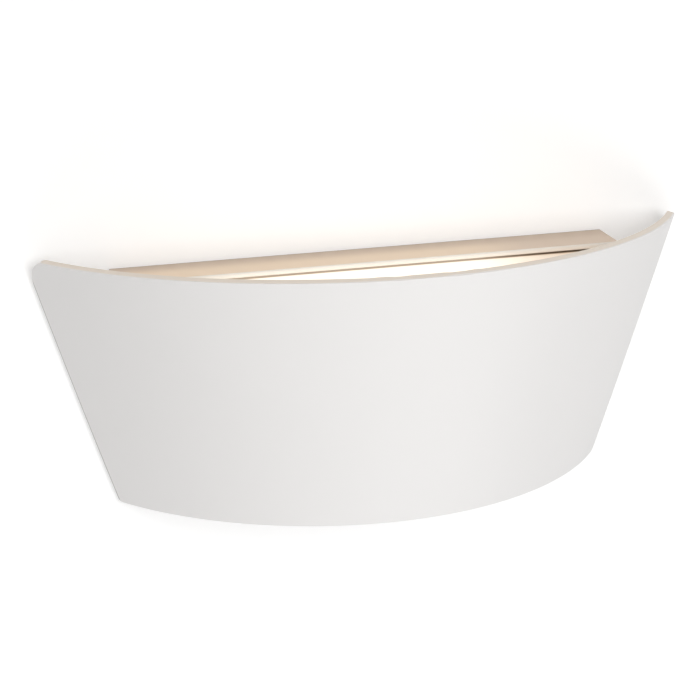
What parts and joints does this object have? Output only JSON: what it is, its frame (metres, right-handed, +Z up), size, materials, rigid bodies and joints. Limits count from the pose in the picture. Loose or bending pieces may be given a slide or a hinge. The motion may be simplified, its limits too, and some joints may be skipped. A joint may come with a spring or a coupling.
{
  "type": "uplighter wall sconce",
  "caption": "Wall light with a curved, tapering front panel that hides a slim housing and throws light upward through an opal diffuser",
  "frame": {"origin": "centre of the wall bracket's rear face, on the wall's surface", "axes": "+X along the housing, to the right seen from the front; +Y into the wall; +Z up"},
  "size_m": [0.3432, 0.1098, 0.1397],
  "materials": {
    "panel_paint": "fine matte white powder coat on steel sheet",
    "housing_paint": "satin white paint on folded steel sheet",
    "tray_paint": "reflective white paint",
    "arm_steel": "zinc-plated steel strip",
    "bracket_steel": "galvanised steel sheet",
    "fastener_steel": "bright zinc plate",
    "opal_plastic": "lit opal acrylic",
    "post_plastic": "moulded white plastic",
    "board_mask": "white solder mask on a circuit board",
    "chip_phosphor": "phosphor-filled resin",
    "driver_plastic": "fine-textured pale plastic",
    "terminal_nylon": "natural nylon",
    "terminal_brass": "turned brass",
    "tag_tin": "tinned copper",
    "bush_rubber": "black rubber",
    "wire_brown": "brown wire sleeve",
    "wire_blue": "blue wire sleeve",
    "wire_green_yellow": "green and yellow wire sleeve",
    "wire_red": "red lead sleeve",
    "wire_black": "black lead sleeve"
  },
  "bodies": {
    "root": {"front_panel": "panel_paint", "support_arm_left": "arm_steel", "support_arm_right": "arm_steel", "panel_studs": "fastener_steel", "panel_washers": "fastener_steel", "panel_nuts": "fastener_steel", "arm_screws": "fastener_steel", "arm_nuts": "fastener_steel", "wall_bracket": "bracket_steel", "housing_cover": "housing_paint", "cover_screws": "fastener_steel", "light_tray": "tray_paint", "tray_screws": "fastener_steel", "diffuser": "opal_plastic", "diffuser_posts": "post_plastic", "diffuser_screws": "fastener_steel", "led_board": "board_mask", "led_chips": "chip_phosphor", "led_connector": "post_plastic", "board_screws": "fastener_steel", "driver": "driver_plastic", "driver_nuts": "fastener_steel", "terminal_block": "terminal_nylon", "terminal_tubes": "terminal_brass", "terminal_screws": "fastener_steel", "block_screws": "fastener_steel", "cord_clamp": "terminal_nylon", "clamp_screws": "fastener_steel", "entry_bush": "bush_rubber", "earth_stud": "terminal_brass", "earth_tag": "tag_tin", "earth_nut": "terminal_brass", "lead_bush": "bush_rubber", "wire_live": "wire_brown", "wire_neutral": "wire_blue", "wire_earth": "wire_green_yellow", "lead_positive": "wire_red", "lead_negative": "wire_black"}
  },
  "joints": []
}
